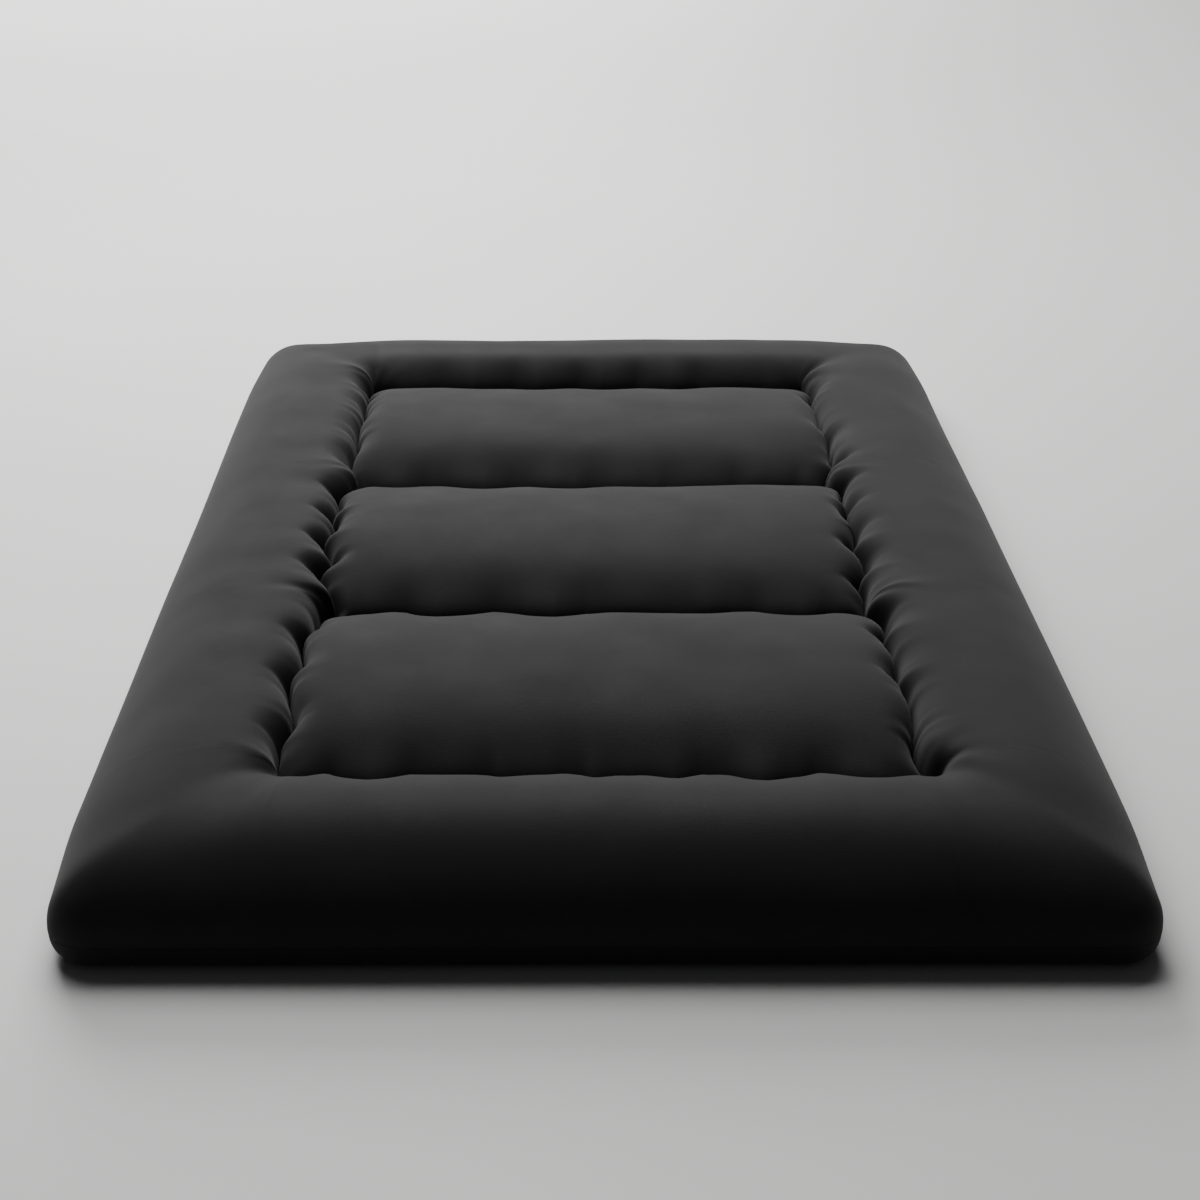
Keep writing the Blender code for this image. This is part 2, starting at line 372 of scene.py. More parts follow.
@dataclass(frozen=True)
class Quilting:
    """How the cover is gathered along its seams: puffs, puckers, waves and small folds."""

    side: Gathers = Gathers(0.140, 0.26, 0.032, 0.52)
    cross: Gathers = Gathers(0.138, 0.22, 0.055, 0.34)
    border_side: Gathers = Gathers(0.132, 0.38, 0.034, 0.52)
    border_end: Gathers = Gathers(0.138, 0.24, 0.050, 0.34)
    spring: float = 0.0055
    pinch: float = 0.0100
    pinch_fade: float = 0.050
    wave: float = 0.0190
    drift: float = 0.0030
    join_draw: float = 0.0130
    pucker: float = 0.0007
    pucker_fade: float = 0.012
    pucker_start: float = 0.005
    pucker_run: float = 0.07
    pucker_lean_length: float = 0.09
    pucker_kinds: tuple = ((0.026, 1.0, 1.35), (0.013, 0.45, 0.8))
    swell_power: float = 2.2
    swell_root: float = 0.62
    wave_reach: float = 0.040
    cross_wave: float = 0.8
    join_reach: float = 0.042
    drift_length: float = 0.2

    def fill(
        self, distance: np.ndarray, along: np.ndarray, reach: float | np.ndarray, kind: Gathers, seed: int
    ) -> np.ndarray:
        """Share of the crown's height beside a seam.

        A share of it springs up from the stitches with an exponential. The rest swells to the crown as
        (1 - (1 - d/reach)^power)^root. The gathers take some of both away.

        Args:
            distance: Distance from the seam.
            along: Distance along the seam.
            reach: Distance at which the crown is full.
            kind: Gathers along this seam.
            seed: Number that picks the pattern of gathers.

        Returns:
            0 on the seam, 1 on the crown.
        """
        left = 1.0 - clamped(distance / reach)
        swell = (1.0 - left**self.swell_power) ** self.swell_root
        spring = 1.0 - np.exp(-distance / self.spring)
        share = kind.spring_share * spring + (1.0 - kind.spring_share) * swell
        return share * kind.kept(distance, along, seed)

    def closing(self, distance: np.ndarray) -> np.ndarray:
        """How far the cloth leans back over a seam, so that the two puffs beside it nearly touch.

        The lean is c (1 - exp(-d/c)), which keeps the first stretch upright above the stitches, and it fades
        exponentially further out.
        """
        lean = self.pinch * (1.0 - np.exp(-distance / self.pinch))
        return lean * np.exp(-distance / self.pinch_fade)

    def puckers(self, distance: np.ndarray, along: np.ndarray, seed: int) -> np.ndarray:
        """Small creases square to a seam: ridged noise of two lengths that fades from the stitches.

        Args:
            distance: Distance from the seam.
            along: Distance along the seam.
            seed: Number that picks the pattern.

        Returns:
            Height to add.
        """
        lean = 0.5 * smooth_noise(along / self.pucker_lean_length, 3.5, seed + 60)
        total = np.zeros(np.broadcast(distance, along).shape)
        for length, share, fade in self.pucker_kinds:
            place, run = (along + lean * distance) / length, distance / self.pucker_run
            value = smooth_noise(place, run, seed + int(length * 1e4))
            ridged = 0.45 - np.sqrt(value**2 + 0.01)
            total -= share * ridged * np.exp(-distance / (self.pucker_fade * fade))
        return self.pucker * total * (1.0 - np.exp(-distance / self.pucker_start))


@dataclass(frozen=True)
class Outline:
    """Plan of the mattress: a rectangle with rounded corners that draws in a little towards its ends."""

    sizes: Sizes
    taper: float = 0.009
    taper_reach: float = 0.24
    sway: float = 0.003
    sway_length: float = 0.24
    sway_fade: float = 0.07

    def inside(self, x: np.ndarray, y: np.ndarray) -> tuple[np.ndarray, np.ndarray, np.ndarray]:
        """Distance inside the rounded rectangle and the outward direction there.

        Args:
            x: Place across.
            y: Place along.

        Returns:
            The distance, and the direction's parts across and along.
        """
        radius = self.sizes.corner_radius
        qx = np.abs(x) - (self.sizes.half_width - radius)
        qy = np.abs(y) - (self.sizes.half_length - radius)
        px, py = np.maximum(qx, 0.0), np.maximum(qy, 0.0)
        reach = np.hypot(px, py)
        distance = radius - reach - np.minimum(np.maximum(qx, qy), 0.0)
        cornered = (qx > 0) & (qy > 0)
        safe = np.maximum(reach, TINY)
        across = np.where(cornered, px / safe, (qx >= qy) * 1.0) * np.sign(x)
        along = np.where(cornered, py / safe, (qx < qy) * 1.0) * np.sign(y)
        return np.maximum(distance, 0.0), across, along

    def depth(self, x: np.ndarray, y: np.ndarray) -> np.ndarray:
        """Distance inside the outline alone."""
        return self.inside(x, y)[0]

    def edge_walk(self, share: np.ndarray, straight: float) -> tuple[np.ndarray, np.ndarray]:
        """Walk along a straight edge and then half of a corner's arc.

        Args:
            share: Share of the walk, from 0 to 1.
            straight: Length of the straight stretch.

        Returns:
            How far the walk has gone straight on, and how far it has turned in from the edge.
        """
        radius = self.sizes.corner_radius
        done = share * (straight + radius * np.pi / 4)
        turn = np.maximum(done - straight, 0.0) / radius
        return np.minimum(done, straight) + radius * np.sin(turn), radius * (1.0 - np.cos(turn))

    def plan(self, rows: np.ndarray, columns: np.ndarray) -> tuple[np.ndarray, np.ndarray]:
        """Plan places of a station grid.

        The strips stay straight. Each corner is a patch blended between its two seams and the two edge
        walks that meet half way round the corner's arc.

        Args:
            rows: Stations along.
            columns: Stations across.

        Returns:
            Places across and along, one for each station pair.
        """
        s = self.sizes
        wide, long = s.half_width - s.seam_x, s.half_length - s.end_seam_y
        ax = np.abs(columns)[None, :] + 0.0 * rows[:, None]
        ay = np.abs(rows)[:, None] + 0.0 * columns[None, :]
        p = clamped((ax - s.seam_x) / wide)
        q = clamped((ay - s.end_seam_y) / long)
        side_on, side_in = self.edge_walk(q, long - s.corner_radius)
        end_on, end_in = self.edge_walk(p, wide - s.corner_radius)
        tip = s.corner_radius * (1.0 - np.cos(np.pi / 4))
        patch_x = p * (wide - side_in) + (1 - q) * p * wide + q * end_on - p * (1 - q) * wide
        patch_x = patch_x - p * q * (wide - tip)
        patch_y = (1 - p) * q * long + p * side_on + q * (long - end_in) - (1 - p) * q * long
        patch_y = patch_y - p * q * (long - tip)
        corner = (ax > s.seam_x) & (ay > s.end_seam_y)
        x = np.where(corner, s.seam_x + patch_x, ax)
        y = np.where(corner, s.end_seam_y + patch_y, ay)
        return x * np.sign(columns)[None, :], y * np.sign(rows)[:, None]

    def settle(self, points: np.ndarray) -> np.ndarray:
        """Draw the ends in and let the outline sway, the same for every layer.

        The width falls by the taper with a smooth step over the last stretch of the length, and the edge
        wanders inwards by soft noise that fades away from it.

        Args:
            points: Grid of points on the plain plan.

        Returns:
            The moved points.
        """
        s = self.sizes
        x, y, z = np.moveaxis(points, -1, 0)
        distance, across, along = self.inside(x, y)
        share = clamped((np.abs(y) - s.half_length + self.taper_reach) / self.taper_reach)
        narrow = 1.0 - self.taper / s.half_width * smooth_step(share)
        wander = 0.5 + 0.5 * smooth_noise(x / self.sway_length + 3.0, y / self.sway_length + 8.0, 21)
        inward = self.sway * np.clip(wander, 0.0, 1.2) * np.exp(-distance / self.sway_fade)
        return np.stack([(x - across * inward) * narrow, y - along * inward, z], axis=-1)


@dataclass(frozen=True)
class UpperFace:
    """The upper face of the mattress, as a function of the place in plan."""

    sizes: Sizes
    outline: Outline
    quilting: Quilting
    side_rise: float = 0.052
    cross_rise: float = 0.240
    outer_rise: float = 0.150
    border_side_rise: float = 0.055
    border_foot_rise: float = 0.125
    border_head_rise: float = 0.088
    corner_drop: float = 0.012
    corner_inset: float = 0.10
    corner_reach: float = 0.11
    rim_reach: float = 0.02
    join_fold: float = 0.0022
    join_fold_reach: float = 0.022
    join_fold_rate: float = 3.1
    softness: tuple = ((0.0020, 0.16, 7), (0.0006, 0.06, 8))
    mitre: float = 0.004
    mitre_start: float = 0.02
    mitre_fade: float = 0.08
    mitre_width: float = 0.010
    mitre_spread: float = 0.10
    drape: float = 0.0024
    drape_length: float = 0.030
    drape_run: float = 0.12
    drape_patch: float = 0.28
    drape_lean: float = 0.35
    drape_fade: float = 0.060
    seam_hold: float = 0.004

    @property
    def seam_rows(self) -> tuple[float, ...]:
        """Places along of the four seams that run across."""
        s = self.sizes
        return -s.end_seam_y, -s.fold_y, s.fold_y, s.end_seam_y

    def beyond(self, x: np.ndarray, y: np.ndarray) -> tuple[np.ndarray, np.ndarray]:
        """Distances across and along past the quilted field, none inside it."""
        s = self.sizes
        return np.maximum(np.abs(x) - s.seam_x, 0.0), np.maximum(np.abs(y) - s.end_seam_y, 0.0)

    def panel_share(self, x: np.ndarray, y: np.ndarray) -> np.ndarray:
        """Fullness of the three central panels: the product of the fullness from each of their seams.

        Args:
            x: Place across.
            y: Place along.

        Returns:
            0 on a seam, 1 on a full crown.
        """
        s, quilting = self.sizes, self.quilting
        right = quilting.fill(np.maximum(s.seam_x - x, 0.0), y, self.side_rise, quilting.side, 2)
        left = quilting.fill(np.maximum(s.seam_x + x, 0.0), y, self.side_rise, quilting.side, 5)
        share = np.where(x > 0, right, left)
        kind = self.cross_rise, quilting.cross
        for low, high, seed in zip(self.seam_rows[:-1], self.seam_rows[1:], (11, 14, 17)):
            inside = (y >= low) & (y <= high)
            from_low = quilting.fill(np.maximum(y - low, 0.0), x, *kind, seed)
            from_high = quilting.fill(np.maximum(high - y, 0.0), x, *kind, seed + 1)
            share = np.where(inside, share * from_low * from_high, share)
        return share

    def border_height(self, x: np.ndarray, y: np.ndarray) -> np.ndarray:
        """Height of the raised border: a quarter ellipse from the rim, drawn down to the quilting seam.

        Args:
            x: Place across.
            y: Place along.

        Returns:
            The height, which counts only outside the quilted field.
        """
        s, quilting = self.sizes, self.quilting
        distance = self.outline.depth(x, y)
        beyond_x, beyond_y = self.beyond(x, y)
        from_seam = np.hypot(beyond_x, beyond_y)
        turn = smooth_step(np.arctan2(beyond_y, np.maximum(beyond_x, TINY)) / (np.pi / 2))
        end_rise = np.where(y > 0, self.border_head_rise, self.border_foot_rise)
        reach = self.border_side_rise * (1 - turn) + end_rise * turn
        side = end = 0.0
        for chosen, seed in ((x > 0, 22), (x <= 0, 25)):
            side = side + chosen * quilting.fill(from_seam, y, reach, quilting.border_side, seed)
        for chosen, seed in ((y > 0, 28), (y <= 0, 31)):
            end = end + chosen * quilting.fill(from_seam, x, reach, quilting.border_end, seed)
        share = side * (1 - turn) + end * turn
        left = self.crown_left(x, y, distance)
        crown = s.rim + (s.height - s.rim) * np.sqrt(np.maximum(1.0 - left**2, 0.0))
        inset = self.corner_inset
        from_corner = np.hypot(np.abs(x) - s.half_width + inset, np.abs(y) - s.half_length + inset)
        drop = self.corner_drop * bell(from_corner, self.corner_reach)
        crown = crown - drop * (1.0 - left**2)
        return crown - (s.height - s.seam_height) * (1.0 - share)

    def crown_left(self, x: np.ndarray, y: np.ndarray, distance: np.ndarray) -> np.ndarray:
        """Share of the way still to go to the border's crown: 1 on the rim, 0 on the crown.

        Inside the corners the shares of the side and of the end join by a power mean, so that no mitre
        shows. The power is the one that meets the corner's arc, and near the rim the true distance counts.

        Args:
            x: Place across.
            y: Place along.
            distance: Distance inside the outline.

        Returns:
            The share.
        """
        s = self.sizes
        tip = s.corner_radius * (1.0 - np.cos(np.pi / 4)) / self.outer_rise
        power = -np.log(2.0) / np.log(1.0 - tip)
        side = 1.0 - clamped((s.half_width - np.abs(x)) / self.outer_rise)
        end = 1.0 - clamped((s.half_length - np.abs(y)) / self.outer_rise)
        joined = np.minimum((side**power + end**power) ** (1.0 / power), 1.0)
        plain = 1.0 - clamped(distance / self.outer_rise)
        near_rim = bell(distance, self.rim_reach)
        return plain * near_rim + joined * (1.0 - near_rim)

    def creases(self, x: np.ndarray, y: np.ndarray) -> np.ndarray:
        """Small creases: puckers along the seams, folds at the joins, softness all over.

        Args:
            x: Place across.
            y: Place along.

        Returns:
            Height to add.
        """
        s, puckers = self.sizes, self.quilting.puckers
        past_x, past_y = self.beyond(x, y)
        side_distance = np.hypot(np.abs(x) - s.seam_x, past_y)
        total = np.zeros(x.shape)
        total += puckers(side_distance, y, 71) * (x > 0)
        total += puckers(side_distance, y, 74) * (x <= 0)
        for k, seam_y in enumerate(self.seam_rows):
            inner = 1.0 if abs(seam_y) > s.fold_y else np.exp(-past_x / self.seam_hold)
            total += puckers(np.hypot(y - seam_y, past_x), x, 80 + 3 * k) * inner
        for side in (-1, 1):
            for k, seam_y in enumerate(self.seam_rows):
                dx, dy = x - side * s.seam_x, y - seam_y
                reach = np.hypot(dx, dy)
                rate = self.join_fold_rate / np.maximum(reach, TINY)
                folds = smooth_noise(rate * dx + 20, rate * dy + 20, 100 + 4 * k + side)
                far = reach / self.join_fold_reach
                total += self.join_fold * folds * far * np.exp(1.0 - far)
        for height, length, seed in self.softness:
            total += height * smooth_noise(x / length + 40, y / length + 40, seed)
        return total

    def mitres(self, x: np.ndarray, y: np.ndarray) -> np.ndarray:
        """Soft valleys that run out from the corners of the quilted field, across the border's corners.

        Args:
            x: Place across.
            y: Place along.

        Returns:
            Height to add, never above 0. A valley's section is a bell curve that widens outwards.
        """
        s = self.sizes
        out_x, out_y = np.abs(x) - s.seam_x, np.abs(y) - s.end_seam_y
        on, off = (out_x + out_y) / np.sqrt(2), (out_x - out_y) / np.sqrt(2)
        ahead = np.maximum(on, 0.0)
        run = clamped(on / self.mitre_start) * np.exp(-ahead / self.mitre_fade)
        return -self.mitre * run * bell(off, self.mitre_width + self.mitre_spread * ahead)

    def draped(self, x: np.ndarray, y: np.ndarray) -> np.ndarray:
        """Long soft creases down the outer side of the border, in patches.

        Args:
            x: Place across.
            y: Place along.

        Returns:
            Height to add: ridged noise that fades from the outline as a bell curve.
        """
        distance, across, along = self.outline.inside(x, y)
        run = np.where(np.abs(across) > np.abs(along), y, x)
        patches = clamped(smooth_noise(run / self.drape_patch + 11, 2.5, 91) + 0.15)
        leaning = (run + self.drape_lean * distance) / self.drape_length
        value = smooth_noise(leaning, distance / self.drape_run, 92)
        start = clamped(distance / self.rim_reach)
        fade = start * bell(distance, self.drape_fade)
        return self.drape * patches * (np.sqrt(value**2 + 0.02) - 0.5) * fade

    def surface(self, rows: np.ndarray, columns: np.ndarray) -> np.ndarray:
        """The whole upper face over a station grid, before the cloth is simulated.

        Args:
            rows: Stations along.
            columns: Stations across.

        Returns:
            Grid of points.
        """
        s = self.sizes
        x, y = self.outline.plan(rows, columns)
        inner = (np.abs(x) < s.seam_x + TINY) & (np.abs(y) < s.end_seam_y + TINY)
        panel = s.seam_height + (s.height - s.seam_height) * self.panel_share(x, y)
        z = np.where(inner, panel, self.border_height(x, y))
        away = 1.0 - np.exp(-self.outline.depth(x, y) / self.rim_reach)
        held = 1.0 - np.exp(-self.seam_distance(x, y) / self.seam_hold)
        z = z + (self.creases(x, y) + self.mitres(x, y) + self.draped(x, y)) * away * held
        closed_x, closed_y = self.closed(x, y)
        return self.outline.settle(self.wavy(np.stack([closed_x, closed_y, z], axis=-1)))

    def closed(self, x: np.ndarray, y: np.ndarray) -> tuple[np.ndarray, np.ndarray]:
        """Plan places after the puffs beside every seam lean over it.

        Args:
            x: Place across.
            y: Place along.

        Returns:
            The moved places.
        """
        s, lean = self.sizes, self.quilting.closing
        ax, ay = np.abs(x), np.abs(y)
        inner = (ax <= s.seam_x) & (ay <= s.end_seam_y)
        beyond_x, beyond_y = self.beyond(x, y)
        from_seam = np.hypot(beyond_x, beyond_y)
        draw = np.where(inner, 0.0, -lean(from_seam) / np.maximum(from_seam, TINY))
        move_x = np.where(inner, lean(np.maximum(s.seam_x - ax, 0.0)), draw * beyond_x)
        to_end = np.where(ay > s.fold_y, lean(np.maximum(s.end_seam_y - ay, 0.0)), 0.0)
        to_fold = lean(np.abs(ay - s.fold_y)) * np.sign(s.fold_y - ay)
        move_y = np.where(inner, to_end + to_fold, draw * beyond_y)
        return x + np.sign(x) * move_x, y + np.sign(y) * move_y

    def seam_distance(self, x: np.ndarray, y: np.ndarray) -> np.ndarray:
        """Distance to the nearest quilting seam.

        Args:
            x: Place across.
            y: Place along.

        Returns:
            The distance.
        """
        s = self.sizes
        past_x, past_y = self.beyond(x, y)
        side = np.hypot(np.abs(x) - s.seam_x, past_y)
        end = np.hypot(past_x, np.abs(y) - s.end_seam_y)
        cross = np.hypot(past_x, np.abs(y) - s.fold_y)
        return np.minimum(side, np.minimum(end, cross))

    def wavy(self, points: np.ndarray) -> np.ndarray:
        """Let every seam wander, pushed by the fuller puff, carrying the cloth beside it.

        A seam moves by the difference of the fullness on its two sides and by slow noise. The movement
        fades from the seam and past its ends as a bell curve. The side seams are drawn in at the joins.

        Args:
            points: Grid of points.

        Returns:
            The moved points.
        """
        s, quilting = self.sizes, self.quilting
        x, y, z = np.moveaxis(points, -1, 0)
        past_x, past_y = self.beyond(x, y)
        shift_x, shift_y = np.zeros(x.shape), np.zeros(x.shape)
        end, cross = quilting.border_end, quilting.cross
        for sign, panel_seed, border_seed in ((1, 2, 22), (-1, 5, 25)):
            window = self.window(x - sign * s.seam_x, past_y)
            gap = quilting.side.fullness(y, panel_seed) - quilting.border_side.fullness(y, border_seed)
            drift = quilting.drift * smooth_noise(y / quilting.drift_length, 0.5, panel_seed)
            shift_x += sign * window * (quilting.wave * gap + drift)
            for seam_y in (-s.fold_y, s.fold_y):
                drawn = quilting.join_draw * bell(y - seam_y, quilting.join_reach)
                shift_x -= sign * window * drawn
        sides = ((end, 31, cross, 11), (cross, 12, cross, 14), (cross, 15, cross, 17), (cross, 18, end, 28))
        for seam_y, (low_kind, low_seed, high_kind, high_seed) in zip(self.seam_rows, sides):
            window = self.window(y - seam_y, past_x)
            gap = low_kind.fullness(x, low_seed) - high_kind.fullness(x, high_seed)
            drift = quilting.drift * smooth_noise(x / quilting.drift_length, 0.5, low_seed)
            shift_y += window * (quilting.cross_wave * quilting.wave * gap + drift)
        return np.stack([x + shift_x, y + shift_y, z], axis=-1)

    def window(self, off: np.ndarray, past: np.ndarray) -> np.ndarray:
        """How much the cloth follows a seam, by the distances beside it and past its end."""
        reach = self.quilting.wave_reach
        return bell(off, reach) * bell(past, reach)


@dataclass(frozen=True)
class LowerFace:
    """The underside: flat on the floor, rolled up to the edge seam, with shallow quilting grooves."""

    sizes: Sizes
    outline: Outline
    upper: UpperFace
    roll: float = 0.030
    roll_power: float = 2.4
    groove: float = 0.0065
    groove_width: float = 0.011
    dimple: float = 0.0010
    dimple_length: float = 0.10
    dimple_start: float = 0.05
    seam_room: float = 0.0006

    def surface(self, rows: np.ndarray, columns: np.ndarray) -> np.ndarray:
        """The whole underside over a station grid.

        The roll is a superellipse between the edge seam and the floor, each seam lifts the cloth by a bell
        curve of its distance, and soft noise lifts it here and there.

        Args:
            rows: Stations along.
            columns: Stations across.

        Returns:
            Grid of points.
        """
        x, y = self.outline.plan(rows, columns)
        distance = self.outline.depth(x, y)
        left = 1.0 - clamped(distance / self.roll)
        rolled = 1.0 - (1.0 - left**self.roll_power) ** (1 / self.roll_power)
        z = (self.sizes.rim - self.seam_room) * rolled
        seam = self.upper.seam_distance(x, y)
        z = z + self.groove * bell(seam, self.groove_width)
        length = self.dimple_length
        dimple = clamped(smooth_noise(x / length + 60, y / length + 60, 33))
        z = z + self.dimple * dimple * clamped((distance - self.roll) / self.dimple_start)
        return self.outline.settle(self.upper.wavy(np.stack([x, y, z], axis=-1)))


@dataclass
class Stations:
    """Station grids of the covers, fine beside the seams and at the rim."""

    sizes: Sizes
    coarse: float = 0.0056
    fine: float = 0.0020

    def across(self) -> np.ndarray:
        """Stations across, with one on each side seam."""
        s = self.sizes
        inner = graded(0.0, s.seam_x, self.coarse, self.fine, self.coarse)
        outer = graded(s.seam_x, s.half_width, self.fine, self.fine / 2, self.coarse)
        return mirrored(np.concatenate([inner, outer[1:]]))

    def along(self) -> np.ndarray:
        """Stations along, with one on each cross and end seam."""
        s = self.sizes
        inner = graded(0.0, s.fold_y, self.coarse, self.fine, self.coarse)
        panel = graded(s.fold_y, s.end_seam_y, self.fine, self.fine, self.coarse)
        outer = graded(s.end_seam_y, s.half_length, self.fine, self.fine / 2, self.coarse)
        return mirrored(np.concatenate([inner, panel[1:], outer[1:]]))


@dataclass(frozen=True)
class ClothSimulation:
    """Settles the quilted cover over its filling: more cloth than the seams hold, pushed out from inside."""

    frames: int = 20
    pressure: float = 2.4
    growth: float = 0.006
    cap: float = 0.0045
    cell: float = 0.0100
    passes: int = 10
    wrinkles: float = 0.04
    quality: int = 6
    mass: float = 0.25
    stiffness: float = 12.0
    bending: float = 0.25
    damping: float = 4.0

    def moved(self, points: np.ndarray, held: np.ndarray) -> np.ndarray:
        """Simulate a grid of cloth from its starting shape.

        Args:
            points: Grid of starting points.
            held: Grid that is true where the cloth is stitched fast.

        Returns:
            How far every point moves, limited softly to the cap, with its broad swell whole and its
            wrinkles lessened.
        """
        count = points.shape[0] * points.shape[1]
        piece = make_piece("cloth_trial", points.reshape(-1, 3), [grid_quads(*points.shape[:2], 0, False)])
        group = piece.vertex_groups.new(name="held")
        group.add(np.flatnonzero(held).tolist(), 1.0, "REPLACE")
        cloth = piece.modifiers.new("Cloth", "CLOTH")
        settings = cloth.settings
        settings.quality = self.quality
        settings.mass = self.mass
        settings.tension_stiffness = settings.shear_stiffness = self.stiffness
        settings.compression_stiffness = self.stiffness
        settings.bending_stiffness = self.bending
        settings.air_damping = self.damping
        settings.vertex_group_mass = group.name
        settings.use_pressure = True
        settings.uniform_pressure_force = self.pressure
        settings.shrink_min = -self.growth
        settings.effector_weights.gravity = 0.0
        cloth.collision_settings.use_collision = False
        scene = bpy.context.scene
        cloth.point_cache.frame_start, cloth.point_cache.frame_end = 1, self.frames
        for number in range(1, self.frames + 1):
            scene.frame_set(number)
        shape = piece.evaluated_get(bpy.context.evaluated_depsgraph_get()).data
        places = np.empty(count * 3, np.float32)
        shape.vertices.foreach_get("co", places)
        scene.frame_set(1)
        bpy.data.objects.remove(piece, do_unlink=True)
        move = places.reshape(points.shape).astype(float) - points
        far = np.linalg.norm(move, axis=-1, keepdims=True)
        LOG.info("cloth moved %.1f mm at most, %.1f mm on average", far.max() * 1000, far.mean() * 1000)
        move = move * np.tanh(far / self.cap) * self.cap / np.maximum(far, TINY)
        swell = smoothed(move, self.passes)
        return swell + self.wrinkles * (move - swell)


def smoothed(grid: np.ndarray, passes: int) -> np.ndarray:
    """A grid of movements averaged with its neighbours, one part each to two parts of its own.

    Args:
        grid: Movements, none along the border.
        passes: How often the averaging is repeated.

    Returns:
        The softer movements, still none along the border.
    """
    for _ in range(passes):
        for axis in (0, 1):
            lines = np.swapaxes(grid, 0, axis)
            padded = np.concatenate([-lines[1:2], lines, -lines[-2:-1]])
            grid = np.swapaxes((padded[:-2] + 2 * lines + padded[2:]) / 4, 0, axis)
    return grid


def carried(grid: np.ndarray, stations: tuple, onto: tuple) -> np.ndarray:
    """Movements of a coarse grid on the stations of a finer one, by cubic B-spline weights each way.

    Args:
        grid: Movements, none along the border.
        stations: Rows and columns of the coarse grid.
        onto: Rows and columns of the finer grid.

    Returns:
        The movements on the finer grid, none along its border.
    """
    for axis in (0, 1):
        lines = np.swapaxes(grid, 0, axis)
        padded = np.concatenate([-lines[1:2], lines, -lines[-2:-1], -lines[-3:-2]])
        place = np.interp(onto[axis], stations[axis], np.arange(len(lines)))
        low = place.astype(int)
        weights = spline_weights(place - low)
        spread = sum(weights[k][:, None, None] * padded[low + k] for k in range(4))
        grid = np.swapaxes(spread, 0, axis)
    return grid


def flat_places(points: np.ndarray) -> np.ndarray:
    """Places on the unrolled cloth: distances walked over the surface from its two centre lines.

    Args:
        points: Grid of points.

    Returns:
        Grid of places, across and along.
    """
    across = np.linalg.norm(np.diff(points, axis=1), axis=-1)
    along = np.linalg.norm(np.diff(points, axis=0), axis=-1)
    u = np.concatenate([np.zeros((len(points), 1)), np.cumsum(across, axis=1)], axis=1)
    v = np.concatenate([np.zeros((1, points.shape[1])), np.cumsum(along, axis=0)], axis=0)
    u -= u[:, points.shape[1] // 2, None]
    v -= v[None, points.shape[0] // 2, :]
    return np.stack([u, v], axis=-1)


def bend(piece: bpy.types.Object, end: End) -> None:
    """Bake the placement of a piece into its points.

    Args:
        piece: The piece.
        end: The end; not used.
    """
    end.body
    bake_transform(piece)


def half_rows(end: End, count: int) -> slice:
    """Rows of a full grid that belong to one end's half, with the row in the middle shared."""
    middle = count // 2
    return slice(middle, count) if end is End.HEAD else slice(0, middle + 1)


